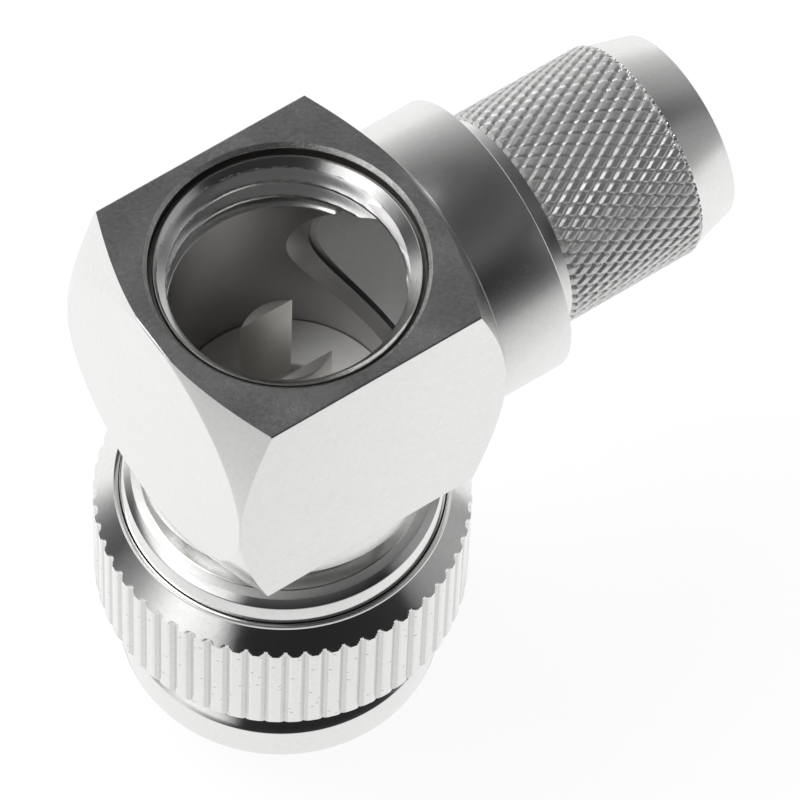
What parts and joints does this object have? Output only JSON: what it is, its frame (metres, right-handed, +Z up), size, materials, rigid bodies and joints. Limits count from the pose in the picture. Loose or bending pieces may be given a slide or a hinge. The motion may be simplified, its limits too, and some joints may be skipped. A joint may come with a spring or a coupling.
{
  "type": "right angle TNC connector",
  "caption": "Right angle TNC coaxial plug: square body open on top, diamond-knurled crimp stem, and a free-turning straight-knurled coupling nut.",
  "frame": {"origin": "bottom centre of the bounding box, in the plane of the coupling nut's mouth, 5.35 mm from the mating axis towards the cable", "axes": "+Z up along the mating axis, from the nut's mouth to the access opening; +X along the cable axis, the way the cable leaves; the connector is symmetric about the XZ plane"},
  "size_m": [0.0254, 0.0148, 0.0266],
  "materials": {
    "block": "polished",
    "stem": "satin",
    "shell": "polished",
    "nut": "polished",
    "insulator": "satin",
    "contact": "polished",
    "snap_ring": "satin",
    "gasket": "matte"
  },
  "bodies": {
    "plug": {"body_block": "block", "crimp_stem": "stem", "front_shell": "shell", "insulator": "insulator", "centre_contact": "contact", "snap_ring": "snap_ring", "gasket": "gasket"},
    "nut": {"coupling_nut": "nut"}
  },
  "joints": [
    {"name": "nut_spin", "type": "hinge", "parent": "plug", "child": "nut", "pos_m": [-0.00535, 0, 0.005], "axis": [0, 0, 1], "continuous": true}
  ]
}
